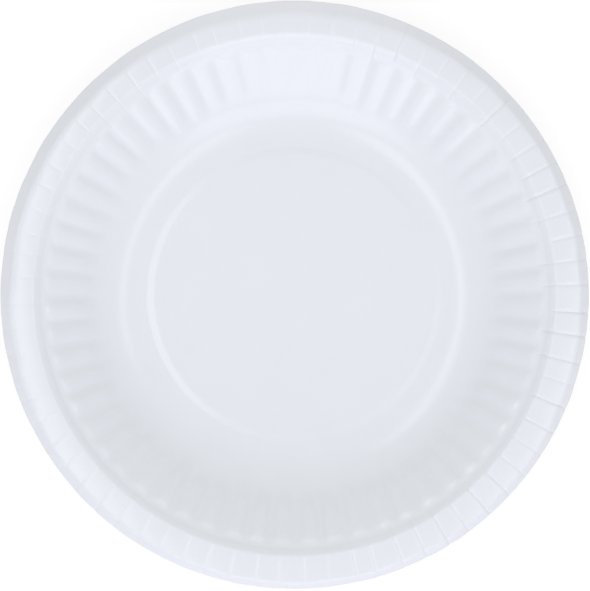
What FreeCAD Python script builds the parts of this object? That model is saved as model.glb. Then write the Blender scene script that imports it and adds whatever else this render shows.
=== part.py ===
# A round disposable plate, pressed in one stroke from one blank of coated paperboard.
# Millimetres. +Z is up, and the origin is under the middle of the foot ring, at its resting face.
# Seen from above, +X points right and +Y away. The board's upper face is the eating side.

import FreeCAD, Part
import os
from math import acos, asin, atan, cos, degrees, pi, radians, sin, sqrt, tan

import Sketcher
from FreeCAD import Placement, Rotation, Vector

doc = FreeCAD.newDocument("paper_plate")
sheet = doc.addObject("Spreadsheet::Sheet", "sizes")

# Driving dimensions: alias, value, meaning. A radius is measured from the plate's axis to the
# board's upper face, and a bend is the bend radius of the face that its line names.
driving = [
    ("board", 0.4, "thickness of the paperboard"),
    ("plate_radius", 115.0, "outside radius of the plate"),
    ("disc_radius", 55.0, "radius of the flat raised disc in the middle"),
    ("disc_rise", 0.25, "height of the disc above the foot ring"),
    ("step_bend", 12.0, "inside of both bends between disc and foot ring"),
    ("ring_outer", 61.0, "outer radius of the flat foot ring"),
    ("base_bend", 34.0, "upper face of the bend between foot ring and wall"),
    ("wall_angle", 35.0, "slope of the wall, degrees"),
    ("flute_count", 60, "flutes round the wall"),
    ("flute_phase", 3.3, "angle of the first ridge from +X, degrees"),
    ("flute_height", 0.9, "height of a ridge over its valleys at the top of the wall"),
    ("flute_end", 98.0, "radius at which the flutes have run out"),
    ("ledge", 1.6, "radial length over which a ridge drops to the shoulder"),
    ("collar", 0.8, "radial length of plain wall above the flutes"),
    ("shoulder_bend", 2.8, "upper face of the bend between wall and rim"),
    ("rim_start", 102.4, "radius at which the rim begins"),
    ("crown", 103.2, "radius at which the rim stands highest"),
    ("rim_bend", 50.0, "upper face of the rim's slight outward curve"),
    ("lip_start", 111.2, "radius at which the rim begins to roll down"),
    ("lip_bend", 2.2, "upper face of the bend that rolls the edge down"),
    ("lip_angle", 45, "slope of the rolled edge, degrees"),
    ("crease_count", 72, "radial creases round the rim"),
    ("crease_phase", 1.9, "angle of the first crease from +X, degrees"),
    ("crease_start", 99.4, "radius at which the creases begin"),
    ("crease_width", 0.8, "width of a crease at the surface"),
    ("crease_depth", 0.2, "depth of a crease, pressed into the upper face"),
]
for row, (alias, value, meaning) in enumerate(driving, start=1):
    sheet.set(f"A{row}", meaning)
    sheet.set(f"B{row}", str(value))
    sheet.setAlias(f"B{row}", alias)
doc.recompute()


def worth(formula):
    return float(sheet.evalExpression(formula))


# The wall is a cone, which begins where the base bend has turned up to the wall's slope.
wallStart = "(sizes.ring_outer + sizes.base_bend * sin(sizes.wall_angle))"
wallFoot = "(sizes.board + sizes.base_bend * (1 - cos(sizes.wall_angle)))"
collarEnd = "(sizes.flute_end + sizes.collar)"
flatCut = "(sizes.board / sin(sizes.wall_angle))"
slope = radians(worth("sizes.wall_angle"))
board = worth("sizes.board")


def wallHeight(radius):
    return f"({wallFoot} + ({radius} - {wallStart}) * tan(sizes.wall_angle))"


def originPart(body, role):
    return next(part for part in body.Origin.OriginFeatures if part.Role == role)


# Sketches

def addSketch(body, name, plane, offset=Placement()):
    sketch = body.newObject("Sketcher::SketchObject", name)
    sketch.AttachmentSupport = [(originPart(body, plane), "")]
    sketch.MapMode = "FlatFace"
    sketch.AttachmentOffset = offset
    sketch.Visibility = False
    return sketch


def onCircle(centre, radius, angle):
    return (centre[0] + radius * sin(angle), centre[1] + radius * cos(angle))


# An outline is a start point and its edges in order. Each edge is (end, centre, turn): a straight
# line has no centre, and an arc turns +1 to the left or -1 to the right on its way. The numbers
# in smooth name the edges that run on into the next one without a corner.
def drawOutline(sketch, start, edges, smooth=(), closed=True):
    ends = []
    at = Vector(*start, 0)
    for end, centre, turn in edges:
        to = Vector(*end, 0)
        if centre is None:
            sketch.addGeometry(Part.LineSegment(at, to))
            ends.append((1, 2))
        else:
            middle = Vector(*centre, 0)
            circle = Part.Circle(middle, Vector(0, 0, 1), (at - middle).Length)
            first, last = circle.parameter(at), circle.parameter(to)
            if turn < 0:
                first, last = last, first
            sketch.addGeometry(Part.ArcOfCircle(circle, first, last))
            ends.append((1, 2) if turn > 0 else (2, 1))
        at = to
    for index in range(len(edges) if closed else len(edges) - 1):
        after = (index + 1) % len(edges)
        kind = "Tangent" if index in smooth else "Coincident"
        sketch.addConstraint(Sketcher.Constraint(kind, index, ends[index][1], after, ends[after][0]))


def rule(sketch, *constraint):
    sketch.addConstraint(Sketcher.Constraint(*constraint))


# A dimension: the constraint's kind and what it acts on, bound to a formula of the sheet.
def bind(sketch, formula, *constraint):
    value = worth(formula)
    if constraint[0] == "Angle":
        value = radians(value)
    index = sketch.addConstraint(Sketcher.Constraint(*constraint, value))
    sketch.setExpression(f"Constraints[{index}]", formula)


# The plate's axis point in a sketch, and the number of an arc's centre.
axisPoint = (-1, 1)
arcCentre = 3


# Features

def turnProfile(body, name, sketch):
    feature = body.newObject("PartDesign::Revolution", name)
    feature.Profile = sketch
    feature.ReferenceAxis = (sketch, ["V_Axis"])
    feature.Angle = 360
    return feature


def repeat(body, name, feature, count):
    pattern = body.newObject("PartDesign::PolarPattern", name)
    pattern.Originals = [feature]
    pattern.Axis = (originPart(body, "Z_Axis"), [""])
    pattern.Angle = 360
    pattern.Refine = False
    pattern.setExpression("Occurrences", f"sizes.{count}")
    body.Tip = pattern
    return pattern


# Where a sketch lies on the wall: its origin on the cone at a radius, its +Y towards the axis and
# its +X round the plate. It lies flat, or stands square to the wall.
def onWall(radius, azimuth, square):
    spin = Rotation(Vector(0, 0, 1), azimuth)
    tilt = Rotation(Vector(0, 1, 0), 90 - degrees(slope) if square else 0)
    place = spin * Vector(radius, 0, worth(wallHeight(radius)))
    return Placement(place, spin * tilt * Rotation(Vector(0, 0, 1), 90))


# Floor: disc, step, foot ring and base bend

floorBody = doc.addObject("PartDesign::Body", "floor")


def drawFloor():
    disc = worth("sizes.disc_radius")
    rise = worth("sizes.disc_rise")
    bend = worth("sizes.step_bend")
    ring = worth("sizes.ring_outer")
    base = worth("sizes.base_bend")
    reach = 2 * bend + board
    turn = acos((reach - rise) / reach)
    foot = disc + reach * sin(turn)
    upper = (disc, rise - bend)
    lower = (foot, board + bend)
    rising = (ring, board + base)
    wall = (worth(wallStart), worth(wallFoot))
    edges = [
        ((disc, rise + board), None, 0),
        (onCircle(upper, bend + board, turn), upper, -1),
        ((foot, board), lower, 1),
        ((ring, board), None, 0),
        (wall, rising, 1),
        ((wall[0] + worth(flatCut), wall[1]), None, 0),
        (onCircle(rising, base + board, pi - slope), None, 0),
        ((ring, 0), rising, -1),
        ((foot, 0), None, 0),
        (onCircle(upper, bend, turn), lower, -1),
        ((disc, rise), upper, 1),
        ((0, rise), None, 0),
        ((0, rise + board), None, 0),
    ]
    sketch = addSketch(floorBody, "floor_section", "XZ_Plane")
    drawOutline(sketch, (0, rise + board), edges, smooth=(0, 1, 2, 3, 6, 7, 8, 9, 10))
    for level in (0, 3, 5, 8, 11):
        rule(sketch, "Horizontal", level)
    rule(sketch, "Vertical", 12)
    for upperArc, lowerArc in ((1, 10), (2, 9), (4, 7)):
        rule(sketch, "Coincident", upperArc, arcCentre, lowerArc, arcCentre)
    rule(sketch, "PointOnObject", 12, 1, -2)
    rule(sketch, "PointOnObject", 8, 1, -1)
    bind(sketch, "sizes.board", "DistanceY", 12, 1, 12, 2)
    bind(sketch, "sizes.disc_rise", "DistanceY", *axisPoint, 11, 1)
    bind(sketch, "sizes.disc_radius", "DistanceX", *axisPoint, 0, 2)
    bind(sketch, "sizes.step_bend", "Radius", 10)
    bind(sketch, "sizes.step_bend", "Radius", 2)
    bind(sketch, "sizes.ring_outer", "DistanceX", *axisPoint, 3, 2)
    bind(sketch, "sizes.base_bend", "Radius", 4)
    bind(sketch, wallStart, "DistanceX", *axisPoint, 4, 2)
    bind(sketch, "sizes.wall_angle", "Angle", -1, 1, 6, 2)
    return sketch


turnProfile(floorBody, "turned_floor", drawFloor())


# Fluted wall: one pitch lofted outward from valley to valley, then repeated

wallBody = doc.addObject("PartDesign::Body", "fluted_wall")


# One section of a pitch. Its upper and lower face are three arcs each: half a valley, the ridge
# and half a valley, which share one radius and run on into each other. In the section's own
# plane the two valleys lie on lines that meet the axis at the apex, and a plain section keeps to
# one circle round the apex.
def drawPitch(name, radius, ridge, square):
    radius = worth(radius)
    half = pi / worth("sizes.flute_count")
    if square:
        reach, skin = radius / sin(slope), board
        half = atan(tan(half) * sin(slope))
    else:
        reach, skin = radius, worth(flatCut)

    def fromApex(distance, angle):
        return (distance * sin(angle), reach - distance * cos(angle))

    if ridge:
        gap = 1 - cos(half)
        a = 2 * gap
        b = 4 * ridge - 2 * gap * ridge
        c = ridge**2 + 2 * gap * (reach - ridge) * reach
        bend = (sqrt(b * b + 4 * a * c) - b) / (2 * a)
        crest = (0, ridge - bend)
        valley = fromApex(reach - bend, half)
        aim = atan((valley[0] - crest[0]) / (valley[1] - crest[1]))
        upper = onCircle(crest, bend, aim)
        lower = onCircle(crest, bend - skin, aim)
        ridgeTurn = -1
    else:
        crest = valley = (0, reach)
        upper = fromApex(reach, half / 2)
        lower = fromApex(reach + skin, half / 2)
        ridgeTurn = 1
    start = fromApex(reach, -half)
    edges = [
        ((-upper[0], upper[1]), (-valley[0], valley[1]), 1),
        (upper, crest, ridgeTurn),
        (fromApex(reach, half), valley, 1),
        (fromApex(reach + skin, half), None, 0),
        (lower, valley, -1),
        ((-lower[0], lower[1]), crest, -ridgeTurn),
        (fromApex(reach + skin, -half), (-valley[0], valley[1]), -1),
        (start, None, 0),
    ]
    sketch = addSketch(wallBody, name, "XY_Plane", onWall(radius, worth("sizes.flute_phase"), square))
    drawOutline(sketch, start, edges)
    return sketch


pitchSections = [
    drawPitch("pitch_start", wallStart, 0, False),
    drawPitch("pitch_full", "sizes.flute_end - sizes.ledge", worth("sizes.flute_height"), True),
    drawPitch("pitch_out", "sizes.flute_end", 0, True),
    drawPitch("pitch_collar", collarEnd, 0, False),
]
pitch = wallBody.newObject("PartDesign::AdditiveLoft", "pitch")
pitch.Profile = pitchSections[0]
pitch.Sections = pitchSections[1:]
pitch.Ruled = True
pitch.Refine = False
repeat(wallBody, "flutes", pitch, "flute_count")


# Creased rim: shoulder, rim and rolled edge, with the creases pressed across them

rimBody = doc.addObject("PartDesign::Body", "creased_rim")


# The corners of the rim's upper face, outward: where each bend begins, its centre and radius.
def rimCourse():
    shoulder = worth("sizes.shoulder_bend")
    rim = worth("sizes.rim_bend")
    lip = worth("sizes.lip_bend")
    begin = worth("sizes.rim_start")
    crown = worth("sizes.crown")
    rimIn = asin((begin - crown) / rim)
    rimOut = asin((worth("sizes.lip_start") - crown) / rim)
    shoulderAcross = begin - shoulder * sin(rimIn)
    bendStart = shoulderAcross - shoulder * sin(slope)
    shoulderUp = worth(wallHeight(bendStart)) - shoulder * cos(slope)
    shoulderCentre = (shoulderAcross, shoulderUp)
    rimCentre = (crown, shoulderUp + (shoulder - rim) * cos(rimIn))
    lipCentre = onCircle(rimCentre, rim - lip, rimOut)
    lipEnd = radians(worth("sizes.lip_angle"))
    return [
        (shoulderCentre, shoulder, -slope, rimIn),
        (rimCentre, rim, rimIn, rimOut),
        (lipCentre, lip, rimOut, lipEnd),
    ]


# The end of the rolled edge's straight run, at a distance from the last bend's centre.
def edgePoint(distance, reach):
    centre, _, _, lean = rimCourse()[-1]
    foot = onCircle(centre, distance, lean)
    return (foot[0] + reach * cos(lean), foot[1] - reach * sin(lean))


def drawRim():
    start = (worth(collarEnd), worth(wallHeight(collarEnd)))
    course = rimCourse()
    shoulder, shoulderBend, wallTurn, rimIn = course[0]
    rim, rimBend, _, rimOut = course[1]
    lip, lipBend, _, lipEnd = course[2]
    run = (worth("sizes.plate_radius") - onCircle(lip, lipBend, lipEnd)[0]) / cos(lipEnd)
    edges = [
        (onCircle(shoulder, shoulderBend, wallTurn), None, 0),
        (onCircle(shoulder, shoulderBend, rimIn), shoulder, -1),
        (onCircle(rim, rimBend, rimOut), rim, -1),
        (onCircle(lip, lipBend, lipEnd), lip, -1),
        (edgePoint(lipBend, run), None, 0),
        (edgePoint(lipBend - board, run), None, 0),
        (onCircle(lip, lipBend - board, lipEnd), None, 0),
        (onCircle(lip, lipBend - board, rimOut), lip, 1),
        (onCircle(rim, rimBend - board, rimIn), rim, 1),
        (onCircle(shoulder, shoulderBend - board, wallTurn), shoulder, 1),
        ((start[0] + worth(flatCut), start[1]), None, 0),
        (start, None, 0),
    ]
    sketch = addSketch(rimBody, "rim_section", "XZ_Plane")
    drawOutline(sketch, start, edges, smooth=(0, 1, 2, 3, 6, 7, 8, 9))
    for upperArc, lowerArc in ((1, 9), (2, 8), (3, 7)):
        rule(sketch, "Coincident", upperArc, arcCentre, lowerArc, arcCentre)
    rule(sketch, "Horizontal", 11)
    rule(sketch, "Parallel", 0, 10)
    rule(sketch, "Parallel", 4, 6)
    rule(sketch, "Perpendicular", 4, 5)
    bind(sketch, "sizes.board", "Distance", 5)
    bind(sketch, collarEnd, "DistanceX", *axisPoint, 0, 1)
    bind(sketch, wallHeight(collarEnd), "DistanceY", *axisPoint, 0, 1)
    bind(sketch, "sizes.wall_angle", "Angle", -1, 1, 0, 1)
    bind(sketch, "sizes.shoulder_bend", "Radius", 1)
    bind(sketch, "sizes.rim_start", "DistanceX", *axisPoint, 1, 1)
    bind(sketch, "sizes.crown", "DistanceX", *axisPoint, 2, arcCentre)
    bind(sketch, "sizes.rim_bend", "Radius", 2)
    bind(sketch, "sizes.lip_start", "DistanceX", *axisPoint, 2, 1)
    bind(sketch, "sizes.lip_bend", "Radius", 3)
    bind(sketch, "180 - sizes.lip_angle", "Angle", -1, 1, 4, 2)
    bind(sketch, "sizes.plate_radius", "DistanceX", *axisPoint, 4, 2)
    return sketch


turnProfile(rimBody, "turned_rim", drawRim())


# A crease is a V swept along the rim's upper face, from the shoulder past the edge.
def drawCreasePath():
    radius = worth("sizes.crease_start")
    course = rimCourse()
    past = worth("sizes.plate_radius - sizes.lip_start + sizes.crease_width")
    edges = [(onCircle(course[0][0], course[0][1], -slope), None, 0)]
    for centre, bend, _, out in course:
        edges.append((onCircle(centre, bend, out), centre, -1))
    edges.append((edgePoint(course[-1][1], past), None, 0))
    turned = Placement(Vector(), Rotation(Vector(0, 1, 0), worth("sizes.crease_phase")))
    sketch = addSketch(rimBody, "crease_path", "XZ_Plane", turned)
    drawOutline(sketch, (radius, worth(wallHeight(radius))), edges, closed=False)
    return sketch


def drawCrease():
    depth = worth("sizes.crease_depth")
    above = depth
    side = worth("sizes.crease_width") / 2 * (depth + above) / depth
    edges = [
        ((side, above), None, 0),
        ((-side, above), None, 0),
        ((0, -depth), None, 0),
    ]
    place = onWall(worth("sizes.crease_start"), worth("sizes.crease_phase"), True)
    sketch = addSketch(rimBody, "crease_section", "XY_Plane", place)
    drawOutline(sketch, (0, -depth), edges)
    return sketch


crease = rimBody.newObject("PartDesign::SubtractivePipe", "crease")
crease.Profile = drawCrease()
crease.Spine = (drawCreasePath(), [""])
crease.Refine = False
repeat(rimBody, "creases", crease, "crease_count")


# The three zones are one pressed board, and join face to face in one solid.
plate = doc.addObject("Part::MultiFuse", "plate")
plate.Label = "plate"
plate.Shapes = [floorBody, wallBody, rimBody]
plate.Refine = False

doc.recompute()

faults = []
for part in doc.Objects:
    if "Invalid" in part.State or "Error" in part.State:
        faults.append(f"{part.Name} did not compute")
    elif part.isDerivedFrom("Part::Feature") and not part.isDerivedFrom("Sketcher::SketchObject"):
        if part.Shape.isNull() or not part.Shape.isValid():
            faults.append(f"{part.Name} has no valid shape")
if len(plate.Shape.Solids) != 1:
    faults.append("the plate is not one solid")
if faults:
    raise RuntimeError("; ".join(faults))

os.makedirs("parts", exist_ok=True)
plate.Shape.exportStep("parts/plate.step")
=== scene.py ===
import bpy
import numpy as np
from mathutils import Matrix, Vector


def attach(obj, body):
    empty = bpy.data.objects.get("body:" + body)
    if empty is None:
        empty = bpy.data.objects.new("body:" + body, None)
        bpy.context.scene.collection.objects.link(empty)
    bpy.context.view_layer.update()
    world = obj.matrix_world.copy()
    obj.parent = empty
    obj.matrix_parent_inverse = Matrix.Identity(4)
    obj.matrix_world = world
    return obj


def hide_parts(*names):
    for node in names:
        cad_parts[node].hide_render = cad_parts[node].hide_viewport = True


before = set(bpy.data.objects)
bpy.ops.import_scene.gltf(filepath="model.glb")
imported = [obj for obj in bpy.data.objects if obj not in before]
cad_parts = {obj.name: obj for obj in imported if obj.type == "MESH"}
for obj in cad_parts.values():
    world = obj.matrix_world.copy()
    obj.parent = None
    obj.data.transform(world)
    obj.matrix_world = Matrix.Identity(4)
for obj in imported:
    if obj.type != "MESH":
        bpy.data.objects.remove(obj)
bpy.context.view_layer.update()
scene = bpy.context.scene
mm = 0.001
print("frame loaded")


# small helpers

def fromHex(text):
    # sRGB hex to linear: c / 12.92 up to 0.04045, else ((c + 0.055) / 1.055) ** 2.4
    parts = np.array([int(text[start:start + 2], 16) / 255 for start in (1, 3, 5)])
    linear = np.where(parts <= 0.04045, parts / 12.92, ((parts + 0.055) / 1.055) ** 2.4)
    return (*linear.tolist(), 1.0)


def addNode(tree, kind, settings=None, inputs=None):
    # a node of a kind, its settings by name, and its inputs as values or links from other sockets
    node = tree.nodes.new(kind)
    for name, value in (settings or {}).items():
        setattr(node, name, value)
    for name, value in (inputs or {}).items():
        if isinstance(value, bpy.types.NodeSocket):
            tree.links.new(value, node.inputs[name])
        else:
            node.inputs[name].default_value = value
    return node


def newMaterial(name):
    material = bpy.data.materials.new(name)
    material.use_nodes = True
    material.node_tree.nodes.clear()
    return material, material.node_tree


def seenDirectly(tree):
    # 1 for rays from the camera, off a gloss or through glass, and 0 for the rays that carry light
    path = addNode(tree, "ShaderNodeLightPath")
    seen = addNode(tree, "ShaderNodeMath", {"operation": "MAXIMUM"},
                   {0: path.outputs["Is Camera Ray"], 1: path.outputs["Is Glossy Ray"]})
    seen = addNode(tree, "ShaderNodeMath", {"operation": "MAXIMUM"},
                   {0: seen.outputs[0], 1: path.outputs["Is Transmission Ray"]})
    return seen.outputs[0]


def smoothStep(low, high, value):
    # 0 below low, 1 above high, and 3t^2 - 2t^3 between them
    t = np.clip((value - low) / (high - low), 0, 1)
    return t * t * (3 - 2 * t)


def roundAbout(values, turns):
    # a value for each of n places round the plate, carried smoothly from one place to the next
    count = len(values)
    place = np.mod(turns, 1.0) * count
    first = np.floor(place).astype(int)
    share = smoothStep(0, 1, place - first)
    return values[first % count] * (1 - share) + values[(first + 1) % count] * share


def turnFrom(middle, azimuth):
    # degrees from one azimuth to another the short way, -180 to 180
    return np.mod(azimuth - middle + 180, 360) - 180


# the plate's section, from the axis outward: the CAD source's, with the step, the bends and the
# rim changed by a few tenths of a millimetre so that they shade as the real board does

section = {
    "board": 0.4,          # thickness
    "discRadius": 55.0,    # centre disc, raised
    "discRise": 0.25,
    "stepBend": 3.0,       # the bends at both ends of the step
    "stepSlope": 5.0,
    "ringOuter": 61.0,     # outer radius of the foot ring
    "baseBend": 35.6,      # from the foot ring up into the wall
    "wallAngle": 35.0,
    "shoulderBend": 1.8,   # from the wall over into the rim
    "rimStart": 102.7,
    "crown": 103.2,        # radius where the rim is highest
    "rimBend": 80.0,
    "lipStart": 111.2,     # radius where the rim starts to roll down
    "lipBend": 2.2,
    "lipAngle": 45.0,      # how steep the roll ends
    "plateRadius": 115.0,
    "bendPlaces": 240,     # places worked out on each bend
}


def bendPoints(centre, radius, first, last, hollow):
    # points on a bend: centre + radius * (sin lean, cos lean), or minus it where the bend is hollow
    lean = np.linspace(first, last, section["bendPlaces"])
    side = -1 if hollow else 1
    return np.stack([centre[0] + side * radius * np.sin(lean),
                     centre[1] + side * radius * np.cos(lean), lean])


def upperFace():
    # the upper face as bends joined by straights, each bend starting at the lean where the last one
    # ended: length along it from the axis, radius, height, and lean, which is plus where it falls
    s = section
    board, bend = s["board"], s["stepBend"]
    reach = 2 * bend + board
    turn = np.radians(s["stepSlope"])
    fall = s["discRise"] - reach * (1 - np.cos(turn))
    foot = s["discRadius"] + reach * np.sin(turn) + fall / np.tan(turn)
    slope = np.radians(s["wallAngle"])
    wallStart = s["ringOuter"] + s["baseBend"] * np.sin(slope)
    wallFoot = board + s["baseBend"] * (1 - np.cos(slope))
    rimIn = np.arcsin((s["rimStart"] - s["crown"]) / s["rimBend"])
    rimOut = np.arcsin((s["lipStart"] - s["crown"]) / s["rimBend"])
    shoulderAcross = s["rimStart"] - s["shoulderBend"] * np.sin(rimIn)
    bendStart = shoulderAcross - s["shoulderBend"] * np.sin(slope)
    wallTop = wallFoot + (bendStart - wallStart) * np.tan(slope)
    shoulderUp = wallTop - s["shoulderBend"] * np.cos(slope)
    rimUp = shoulderUp + (s["shoulderBend"] - s["rimBend"]) * np.cos(rimIn)
    lipAcross = s["crown"] + (s["rimBend"] - s["lipBend"]) * np.sin(rimOut)
    lipUp = rimUp + (s["rimBend"] - s["lipBend"]) * np.cos(rimOut)
    lipEnd = np.radians(s["lipAngle"])
    skirtStart = lipAcross + s["lipBend"] * np.sin(lipEnd)
    skirtUp = lipUp + s["lipBend"] * np.cos(lipEnd)
    skirtDrop = (s["plateRadius"] - skirtStart) * np.tan(lipEnd)
    runs = [
        np.array([[0.0, s["discRadius"]], [s["discRise"] + board] * 2, [0.0, 0.0]]),
        bendPoints((s["discRadius"], s["discRise"] - bend), bend + board, 0, turn, False),
        bendPoints((foot, board + bend), bend, turn, 0, True),
        bendPoints((s["ringOuter"], board + s["baseBend"]), s["baseBend"], 0, -slope, True),
        bendPoints((shoulderAcross, shoulderUp), s["shoulderBend"], -slope, rimIn, False),
        bendPoints((s["crown"], rimUp), s["rimBend"], rimIn, rimOut, False),
        bendPoints((lipAcross, lipUp), s["lipBend"], rimOut, lipEnd, False),
        np.array([[s["plateRadius"]], [skirtUp - skirtDrop], [lipEnd]]),
    ]
    across, up, lean = np.concatenate(runs, axis=1)
    along = np.concatenate([[0], np.cumsum(np.hypot(np.diff(across), np.diff(up)))])
    keep = np.concatenate([[True], np.diff(along) > 1e-9])  # one place where two runs meet
    return along[keep], across[keep], up[keep], lean[keep]


faceAlong, faceAcross, faceUp, faceLean = upperFace()
faceEnd = faceAlong[-1]


def alongAt(radius):
    return np.interp(radius, faceAcross, faceAlong)


roll = {
    "shift": -0.45,         # how much further out the roll starts than the section says
    "offset": (0.4, -1.2),  # how far the roll as a whole stands off, along +X and +Y
    "spread": 0.35,         # how far its start wanders
    "movesFrom": 105.5,     # radius where the shift comes in
    "movesFully": 108.5,
    "straight": 2.0,        # length at the edge that takes up what a shift leaves over
    "easyAt": 95.0,         # azimuth where the roll is least steep
    "easyFully": 10.0,      # how far to either side it stays so
    "easyReach": 42.0,
    "easyAngle": 30.0,
    "workedFrom": 105.0,    # radius from which the places below are worked out
    "places": 300,
    "shapes": 17,           # sections worked out between the least shift and the greatest
    "margin": 0.01,         # past the greatest, so that each column has a section on both sides
}


def rolledFace(places, shift, steepest):
    # the section with its roll starting shift further out: the same leans at other places along it,
    # summed up again, and the straight after the roll made to end at the plate's radius
    fine = np.union1d(faceAlong, np.linspace(alongAt(roll["workedFrom"]), faceEnd, roll["places"]))
    moved = shift * smoothStep(alongAt(roll["movesFrom"]), alongAt(roll["movesFully"]), fine)
    lean = np.minimum(np.interp(fine - moved, faceAlong, faceLean), np.radians(steepest))
    middle = (lean[1:] + lean[:-1]) / 2
    across = np.concatenate([[0], np.cumsum(np.diff(fine) * np.cos(middle))])
    up = faceUp[0] - np.concatenate([[0], np.cumsum(np.diff(fine) * np.sin(middle))])
    short = section["plateRadius"] - across[-1]
    straight = np.clip((fine - faceEnd + roll["straight"]) / roll["straight"], 0, 1)
    across = across + short * straight
    up = up - short * straight * np.tan(np.radians(steepest))
    return np.stack([np.interp(places, fine, values) for values in (across, up, lean)])


print("section worked out,", round(float(faceEnd), 2), "mm from axis to edge")


# what the press leaves: ridges up the wall, creases and pillowed panels round the rim

flutes = {
    "count": 60,
    "phase": 3.3,          # azimuth of the first ridge
    "height": 0.73,        # ridge over valley at the top of the wall
    "begin": 74.5,         # radius where a ridge starts to stand proud
    "risen": 85.5,         # radius where it has its full share of the pitch
    "full": 95.8,          # radius where it is highest
    "end": 98.2,           # radius where it is gone
    "phaseSpread": 0.045,  # of one pitch
    "heightSpread": 0.20,  # of the height
    "beginSpread": 2.5,
    "breadth": 1.5,        # above 1 a ridge is broader than a valley
    "lineAt": 99.1,        # radius of the line pressed between the flutes and the rim
    "lineHalf": 1.6,
    "lineDepth": 0.18,
    "faintAt": 92.0,       # azimuth where the press left them shallowest
    "faintFully": 8.0,     # how far to either side they stay so
    "faintReach": 24.0,
    "faintShare": 0.45,
    "deepGain": 0.45,      # how much deeper it left them on the -Y side
}
creases = {
    "count": 72,
    "phase": 1.9,
    "phaseSpread": 0.28,
    "width": 0.8,
    "depth": 0.20,         # on the +X side
    "faintShare": 0.26,    # of that depth on the other side
    "deepFrom": 0.6,       # cosine of the azimuth from which they are at full depth
    "depthSpread": 0.45,
    "begin": 98.2,         # radius where a crease starts
    "beginSpread": 3.2,
    "beginFade": 2.5,      # length over which it reaches its depth
    "underShare": 0.5,     # share of all this that shows on the underside
    "pillow": 0.035,       # how far a panel swells between its creases
    "pillowRange": (0.4, 1.4),  # from the flattest panel to the fullest
    "pillowFade": 4.0,     # length over which panels start to swell and lap
    "lap": 0.035,          # step in height from one panel to the next
    "stagger": 0.10,       # how far a panel's edge stands out or in
    "staggerFrom": 100.0,  # radius where that comes in
    "staggerFully": 103.0,
    "staggerEase": 0.12,   # share of a panel's breadth over which it eases to its neighbour
}
chance = np.random.default_rng(7)  # another number presses another plate
fluteShift = chance.normal(0, flutes["phaseSpread"], flutes["count"])
fluteGain = 1 + chance.uniform(-1, 1, flutes["count"]) * flutes["heightSpread"]
fluteBegin = flutes["begin"] + chance.uniform(-1, 1, flutes["count"]) * flutes["beginSpread"]
creaseShift = chance.normal(0, creases["phaseSpread"], creases["count"])
creaseGain = 1 + chance.uniform(-1, 1, creases["count"]) * creases["depthSpread"]
creaseBegin = creases["begin"] + chance.uniform(-1, 1, creases["count"]) * creases["beginSpread"]
panelSwell = chance.uniform(*creases["pillowRange"], creases["count"])
panelLap = chance.uniform(-1, 1, creases["count"])
panelStagger = chance.uniform(-1, 1, creases["count"])
panelLip = chance.uniform(-1, 1, creases["count"])
creaseAt = creases["phase"] + 360 / creases["count"] * np.arange(creases["count"]) + creaseShift


def fluteRise(radius, azimuth):
    # a raised cosine across each pitch, growing out of the base bend and gone below the rim, less
    # one turn of a cosine where the line is pressed
    pitch = (azimuth - flutes["phase"]) / 360 * flutes["count"]
    turns = pitch / flutes["count"]
    pitch = pitch + roundAbout(fluteShift, turns)
    begin = roundAbout(fluteBegin, turns)
    grow = smoothStep(begin, flutes["risen"], radius) * radius / flutes["full"]
    drop = 1 - smoothStep(flutes["full"], flutes["end"], radius)
    ridge = 1 - (0.5 - 0.5 * np.cos(2 * np.pi * pitch)) ** flutes["breadth"]
    away = np.abs(turnFrom(flutes["faintAt"], azimuth))
    clear = smoothStep(flutes["faintFully"], flutes["faintReach"], away)
    deep = flutes["faintShare"] + (1 - flutes["faintShare"]) * clear
    deep = deep * (1 + flutes["deepGain"] * np.clip(-np.sin(np.radians(azimuth)), 0, 1))
    line = np.clip((radius - flutes["lineAt"]) / flutes["lineHalf"], -1, 1)
    line = flutes["lineDepth"] * (0.5 + 0.5 * np.cos(np.pi * line))
    return flutes["height"] * deep * roundAbout(fluteGain, turns) * grow * drop * ridge - line


def creasePress(radius, azimuth, panel, share):
    # a V along each crease, a parabola across each panel, and a slant from one panel to the next.
    # panel is the crease a point lies after, and share its way to the next crease, 0 to 1
    after = (panel + 1) % creases["count"]
    bite = smoothStep(0.0, creases["deepFrom"], np.cos(np.radians(azimuth)))
    bite = creases["depth"] * (creases["faintShare"] + (1 - creases["faintShare"]) * bite)
    press = 0
    for which in (panel, after):
        offset = np.abs(np.radians(turnFrom(creaseAt[which], azimuth)) * radius)
        offset = offset / (creases["width"] / 2)
        reach = smoothStep(0, creases["beginFade"], radius - creaseBegin[which])
        press = press - bite * creaseGain[which] * reach * np.clip(1 - offset, 0, 1)
    reach = smoothStep(creases["begin"], creases["begin"] + creases["pillowFade"], radius)
    swell = creases["pillow"] * panelSwell[panel] * (1 - (2 * share - 1) ** 2)
    lap = creases["lap"] * panelLap[panel] * (share - 0.5)
    return press + reach * (swell + lap)


print("press marks set,", flutes["count"], "flutes and", creases["count"], "creases")


# the pressed plate: a grid of places along the section by azimuths round the axis

grid = {
    "creaseSteps": (-0.24, -0.12, 0.0, 0.12, 0.24),  # degrees from a crease
    "panelSteps": 7,
    # radius where a zone ends and rows in it, from the axis outward
    "upperRows": ((54.0, 4), (58.6, 10), (61.0, 1), (74.0, 8), (88.0, 9), (96.0, 4), (98.4, 6),
                  (101.3, 7), (102.8, 6), (110.8, 6), (113.0, 8), (114.8, 2), (115.0, 1)),
    "lowerRows": ((54.0, 3), (58.6, 6), (61.0, 1), (74.0, 4), (88.0, 4), (96.0, 2), (99.2, 4),
                  (100.7, 1), (102.8, 4), (110.8, 3), (113.0, 4), (114.8, 1), (115.0, 1)),
    "edgeRows": (0.25, 0.75),  # shares of the way down the cut edge
    "edgeBulge": 0.05,
}


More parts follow.
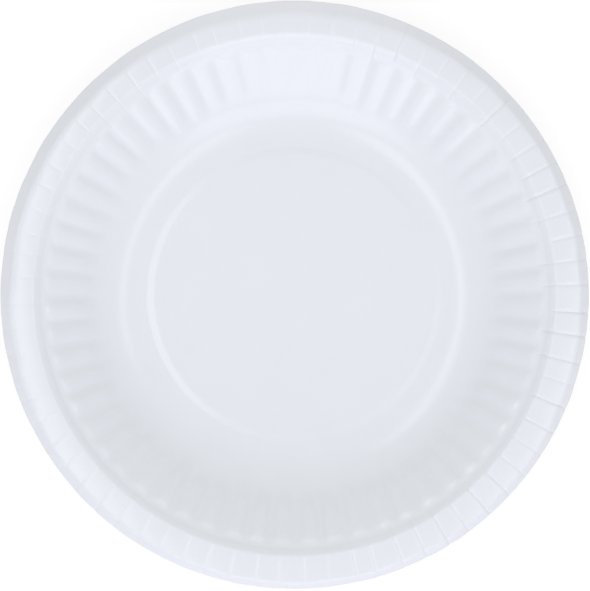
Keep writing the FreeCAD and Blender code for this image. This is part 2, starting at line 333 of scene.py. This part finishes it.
def rowPlaces(rows):
    # lengths along the section, evenly spaced in each zone, without the axis itself
    places = [0.0]
    for radius, steps in rows:
        places += np.linspace(places[-1], alongAt(radius), steps + 1)[1:].tolist()
    return np.array(places[1:])


def columnPlaces():
    # azimuths and, for each, the crease it lies after and its share of the way to the next one.
    # A few stand close round each crease, and the rest spread evenly to fill the true gap
    count = creases["count"]
    pitch = 360 / count
    near = np.array(grid["creaseSteps"])
    gap = np.linspace(near[-1], pitch + near[0], grid["panelSteps"] + 2)[1:-1]
    nominal = np.concatenate([near, gap])
    crease = np.repeat(np.arange(count), len(nominal))
    offset = np.tile(nominal, count)
    after = (crease + 1) % count
    trueGap = pitch + turnFrom(creaseAt[crease] + pitch, creaseAt[after])
    stretch = np.clip((offset - near[-1]) / (pitch - 2 * near[-1]), 0, 1)
    azimuth = creaseAt[crease] + offset + stretch * (trueGap - pitch)
    before = offset < 0
    panel = np.where(before, (crease - 1) % count, crease)
    panelGap = trueGap[panel * len(nominal)]
    share = np.mod(azimuth - creaseAt[crease], 360)
    share = np.where(before, 1 + offset / panelGap, share / panelGap)
    return azimuth, panel, share


def plateSheet(places, columns, lower):
    # the section carried round the axis, moved along its own normal by the press marks
    azimuth, panel, share = (values[None, :] for values in columns)
    along = places[:, None] + np.zeros_like(azimuth)
    radius = np.interp(along, faceAlong, faceAcross)
    angle = np.radians(azimuth)
    # where the roll starts in each column
    turns = (azimuth[0] - creases["phase"]) / 360
    wander = roll["shift"] + roll["spread"] * roundAbout(panelLip, turns)
    wander = wander + roll["offset"][0] * np.cos(angle[0]) + roll["offset"][1] * np.sin(angle[0])
    # the section at a few shifts of the roll, and each column between its two nearest
    shifts = np.linspace(wander.min(), wander.max() + roll["margin"], roll["shapes"])
    step = (wander - shifts[0]) / (shifts[1] - shifts[0])
    first = np.floor(step).astype(int)
    part = (step - first)[:, None, None]
    # the same at two steepnesses, blended where the roll is easy
    away = np.abs(turnFrom(roll["easyAt"], azimuth[0]))
    easy = 1 - smoothStep(roll["easyFully"], roll["easyReach"], away)[:, None, None]
    blended = 0
    for steepest, weight in ((section["lipAngle"], 1 - easy), (roll["easyAngle"], easy)):
        faces = np.array([rolledFace(places, shift, steepest) for shift in shifts])
        blended = blended + weight * (faces[first] * (1 - part) + faces[first + 1] * part)
    across, up, lean = blended.transpose(1, 2, 0)
    press = creasePress(radius, azimuth, panel, share)
    move = fluteRise(radius, azimuth) + (press * creases["underShare"] if lower else press)
    if lower:
        move = move - section["board"]
    stagger = smoothStep(creases["staggerFrom"], creases["staggerFully"], radius)
    stagger = creases["stagger"] * panelStagger[panel] * stagger
    stagger = stagger * smoothStep(0, creases["staggerEase"], share)
    stagger = stagger * smoothStep(0, creases["staggerEase"], 1 - share)
    across = across + move * np.sin(lean) + stagger
    up = up + move * np.cos(lean)
    return np.stack([across * np.cos(angle), across * np.sin(angle), up], axis=-1)


def makePlate():
    # rings of points from the axis out over the upper face, round the cut edge and back below, with
    # a fan of triangles to the axis at both ends
    columns = columnPlaces()
    upper = plateSheet(rowPlaces(grid["upperRows"]), columns, False)
    lower = plateSheet(rowPlaces(grid["lowerRows"]), columns, True)[::-1]
    # the cut edge: two rows between the faces, bulging a little past their ends
    run = upper[-1] - upper[-2]
    run = run / np.linalg.norm(run, axis=-1, keepdims=True) * grid["edgeBulge"]
    edge = [upper[-1] * (1 - share) + lower[0] * share + run for share in grid["edgeRows"]]
    rings = np.concatenate([upper, edge, lower])
    rowCount, columnCount = rings.shape[:2]
    top = np.array([[0, 0, faceUp[0]]])
    under = top - [[0, 0, section["board"]]]
    points = np.concatenate([rings.reshape(-1, 3), top, under]) * mm
    row, column = np.meshgrid(np.arange(rowCount - 1), np.arange(columnCount), indexing="ij")
    beside = (column + 1) % columnCount
    quads = np.stack([row * columnCount + column, (row + 1) * columnCount + column,
                      (row + 1) * columnCount + beside, row * columnCount + beside], axis=-1)
    spoke = np.arange(columnCount)
    nextSpoke = (spoke + 1) % columnCount
    topIndex = np.full_like(spoke, rowCount * columnCount)
    lastRow = (rowCount - 1) * columnCount
    fanTop = np.stack([topIndex, spoke, nextSpoke], axis=-1)
    fanUnder = np.stack([topIndex + 1, lastRow + nextSpoke, lastRow + spoke], axis=-1)
    corners = np.concatenate([quads.ravel(), fanTop.ravel(), fanUnder.ravel()])
    sizes = np.concatenate([np.full(row.size, 4), np.full(2 * columnCount, 3)])
    starts = np.concatenate([[0], np.cumsum(sizes)[:-1]])
    mesh = bpy.data.meshes.new("pressedPlate")
    mesh.vertices.add(len(points))
    mesh.vertices.foreach_set("co", points.ravel())
    mesh.loops.add(len(corners))
    mesh.loops.foreach_set("vertex_index", corners.astype(np.int32))
    mesh.polygons.add(len(sizes))
    mesh.polygons.foreach_set("loop_start", starts.astype(np.int32))
    mesh.polygons.foreach_set("loop_total", sizes.astype(np.int32))
    mesh.update(calc_edges=True)
    mesh.polygons.foreach_set("use_smooth", np.ones(len(sizes), dtype=bool))
    # upper face coated, which is material 0, and cut edge and underside bare board
    faceRow = np.concatenate([row.ravel(), np.zeros(columnCount), np.full(columnCount, rowCount)])
    bare = (faceRow >= len(upper) - 1).astype(np.int32)
    mesh.polygons.foreach_set("material_index", bare)
    mesh.validate()
    plate = bpy.data.objects.new("pressed_plate", mesh)
    scene.collection.objects.link(plate)
    return plate


plate = makePlate()
print("plate made,", len(plate.data.polygons), "faces")


# materials. Fibres in board are about 0.03 mm wide, too fine to show: the grain is drawn as coarse
# as the small clumps that they lie in, and the clouds as wide as real board's uneven patches

coatedBoard = {
    "tones": ("#e4e7eb", "#e7eaed"),
    "cloudWidth": 16.67,   # from one patch to the next
    "grainWidth": 1.111,   # from one clump of fibres to the next
    "grainShown": 0.08,    # how much of the grain the film lets through
    "grainDepth": 0.2,     # height of that relief before it is let through
    "roughness": 0.6,      # the board below the film
    "gloss": 0.15,
    "filmRoughness": 0.17,
    "filmIor": 1.5,
}
bareBoard = {
    "tones": ("#dddedd", "#e8e8e6"),
    "grainWidth": 1.429,
    "grainShown": 0.25,
    "grainDepth": 0.2,
    "roughness": 0.8,
}


def makeCoatedBoard():
    # coated paperboard, pressed: a thin glossy film over white board. The film evens out the
    # fibres and gives soft bright lines where the board bends, over a faint cloudy unevenness.
    c = coatedBoard
    material, tree = newMaterial("coated paperboard, pressed")
    place = addNode(tree, "ShaderNodeTexCoord").outputs["Object"]
    cloud = addNode(tree, "ShaderNodeTexNoise", inputs={
        "Vector": place, "Scale": 1 / (c["cloudWidth"] * mm), "Detail": 3.0})
    tone = addNode(tree, "ShaderNodeMix", {"data_type": "RGBA"}, {
        "Factor": cloud.outputs["Fac"], "A": fromHex(c["tones"][0]), "B": fromHex(c["tones"][1])})
    fibre = addNode(tree, "ShaderNodeTexNoise", inputs={
        "Vector": place, "Scale": 1 / (c["grainWidth"] * mm), "Detail": 4.0, "Roughness": 0.6})
    grain = addNode(tree, "ShaderNodeBump", inputs={
        "Strength": c["grainShown"], "Distance": c["grainDepth"] * mm,
        "Height": fibre.outputs["Fac"]})
    shader = addNode(tree, "ShaderNodeBsdfPrincipled", inputs={
        "Base Color": tone.outputs["Result"], "Roughness": c["roughness"], "IOR": 1.45,
        "Specular IOR Level": c["gloss"], "Coat Weight": 1.0,
        "Coat Roughness": c["filmRoughness"], "Coat IOR": c["filmIor"],
        "Normal": grain.outputs["Normal"]})
    out = addNode(tree, "ShaderNodeOutputMaterial")
    tree.links.new(shader.outputs["BSDF"], out.inputs["Surface"])
    return material


def makeBareBoard():
    # uncoated bleached board: matt, a little warmer, with its fibres felt in the surface
    b = bareBoard
    material, tree = newMaterial("paperboard, uncoated")
    place = addNode(tree, "ShaderNodeTexCoord").outputs["Object"]
    fibre = addNode(tree, "ShaderNodeTexNoise", inputs={
        "Vector": place, "Scale": 1 / (b["grainWidth"] * mm), "Detail": 5.0, "Roughness": 0.65})
    tone = addNode(tree, "ShaderNodeMix", {"data_type": "RGBA"}, {
        "Factor": fibre.outputs["Fac"], "A": fromHex(b["tones"][0]), "B": fromHex(b["tones"][1])})
    grain = addNode(tree, "ShaderNodeBump", inputs={
        "Strength": b["grainShown"], "Distance": b["grainDepth"] * mm,
        "Height": fibre.outputs["Fac"]})
    shader = addNode(tree, "ShaderNodeBsdfPrincipled", inputs={
        "Base Color": tone.outputs["Result"], "Roughness": b["roughness"], "IOR": 1.5,
        "Normal": grain.outputs["Normal"]})
    out = addNode(tree, "ShaderNodeOutputMaterial")
    tree.links.new(shader.outputs["BSDF"], out.inputs["Surface"])
    return material


plate.data.materials.append(makeCoatedBoard())
plate.data.materials.append(makeBareBoard())
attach(plate, "root")
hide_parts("plate")
print("materials set")


# studio: white table, two soft boxes at the near side, a strip overhead to the left and one to the
# right, and a bright room

studio = {
    "floorSize": 8.0,          # metres, as are the lamps' sizes and distances
    "tableColour": "#dcdddf",  # what the table sends back up
    "tableShown": "#767678",   # what is seen of it, with the lift added: white, with the shadow
    "tableLift": 0.86,
    "worldStrength": 0.777,
    "worldSides": 0.33,        # how much brighter the room is near and far than left and right
    # name, degrees from straight up, azimuth it stands at, distance, its size sideways and up and
    # down as the plate faces it, the brightness it gives a white sheet that faces it, its colour
    "lamps": (
        ("near box, high", 40, -90, 6.0, (5.0, 2.4), 0.148, "#e9e9ff"),
        ("near box, low", 68, -90, 6.0, (5.0, 2.4), 0.118, "#e9e9ff"),
        ("left strip", 12, 186, 2.0, (1.40, 0.30), 0.070, "#f6f2fc"),
        ("right strip", 17, -24, 2.0, (1.20, 0.28), 0.046, "#f6f2fc"),
    ),
}


def makeFloor():
    half = studio["floorSize"] / 2
    corners = [(-half, -half, 0), (half, -half, 0), (half, half, 0), (-half, half, 0)]
    mesh = bpy.data.meshes.new("table_top")
    mesh.from_pydata(corners, [], [(0, 1, 2, 3)])
    floor = bpy.data.objects.new("table_top", mesh)
    scene.collection.objects.link(floor)
    material, tree = newMaterial("white table")
    plain = addNode(tree, "ShaderNodeBsdfDiffuse", inputs={"Color": fromHex(studio["tableColour"])})
    shaded = addNode(tree, "ShaderNodeBsdfDiffuse", inputs={"Color": fromHex(studio["tableShown"])})
    lift = addNode(tree, "ShaderNodeEmission", inputs={
        "Color": (1, 1, 1, 1), "Strength": studio["tableLift"]})
    shown = addNode(tree, "ShaderNodeAddShader", inputs={0: shaded.outputs[0], 1: lift.outputs[0]})
    both = addNode(tree, "ShaderNodeMixShader", inputs={
        0: seenDirectly(tree), 1: plain.outputs[0], 2: shown.outputs[0]})
    out = addNode(tree, "ShaderNodeOutputMaterial")
    tree.links.new(both.outputs[0], out.inputs["Surface"])
    mesh.materials.append(material)


def makeWorld():
    # strength by direction: the mean plus a share of y * y - x * x, and plain white where seen
    world = bpy.data.worlds.new("studio white")
    world.use_nodes = True
    tree = world.node_tree
    tree.nodes.clear()
    way = addNode(tree, "ShaderNodeTexCoord").outputs["Generated"]
    way = addNode(tree, "ShaderNodeSeparateXYZ", inputs={"Vector": way}).outputs
    squareX, squareY = (addNode(tree, "ShaderNodeMath", {"operation": "MULTIPLY"},
                                {0: way[axis], 1: way[axis]}).outputs[0] for axis in (0, 1))
    difference = addNode(tree, "ShaderNodeMath", {"operation": "SUBTRACT"},
                         {0: squareY, 1: squareX})
    room = addNode(tree, "ShaderNodeMath", {"operation": "MULTIPLY_ADD"},
                   {0: difference.outputs[0], 1: studio["worldSides"], 2: studio["worldStrength"]})
    level = addNode(tree, "ShaderNodeMapRange", inputs={
        "Value": seenDirectly(tree), "To Min": room.outputs[0], "To Max": 1.0})
    back = addNode(tree, "ShaderNodeBackground", inputs={
        "Color": (1, 1, 1, 1), "Strength": level.outputs["Result"]})
    out = addNode(tree, "ShaderNodeOutputWorld")
    tree.links.new(back.outputs[0], out.inputs["Surface"])
    scene.world = world


def makeLamps():
    # a box that gives a facing white sheet the brightness b at distance d has b * pi^2 * d^2 watts
    for name, fromUp, azimuth, distance, size, gives, colour in studio["lamps"]:
        data = bpy.data.lights.new(name, "AREA")
        data.shape = "RECTANGLE"
        data.size, data.size_y = size
        data.energy = gives * np.pi ** 2 * distance ** 2
        data.color = fromHex(colour)[:3]
        tilt, bearing = np.radians(fromUp), np.radians(azimuth)
        towards = Vector((np.sin(tilt) * np.cos(bearing), np.sin(tilt) * np.sin(bearing),
                          np.cos(tilt)))
        lamp = bpy.data.objects.new(name, data)
        lamp.location = towards * distance
        lamp.rotation_euler = towards.to_track_quat("Z", "Y").to_euler()
        scene.collection.objects.link(lamp)


makeFloor()
makeWorld()
makeLamps()
print("studio lit")


# camera: straight above, far enough for the sides to stay nearly parallel

view = {
    "height": 4.0,                  # metres
    "millimetresPerPixel": 0.3912,
    "outlineHeight": 18.0,          # height of the plate's outline, where that scale holds
    "picture": (590, 591),
    "plateMiddle": (294.6, 294.6),  # pixels from the picture's left and top
    "sensor": 36.0,
}


def makeCamera():
    # lens over sensor is distance over the breadth that the picture takes in there
    scale = view["millimetresPerPixel"] * mm
    breadth = max(view["picture"]) * scale
    data = bpy.data.cameras.new("camera")
    data.sensor_width = view["sensor"]
    data.lens = view["sensor"] * (view["height"] - view["outlineHeight"] * mm) / breadth
    data.clip_start, data.clip_end = 0.1, 50
    camera = bpy.data.objects.new("camera", data)
    camera.location = ((view["picture"][0] / 2 - view["plateMiddle"][0]) * scale,
                       (view["plateMiddle"][1] - view["picture"][1] / 2) * scale, view["height"])
    scene.collection.objects.link(camera)
    scene.camera = camera


makeCamera()
scene.view_settings.view_transform = "Standard"
print("camera set")
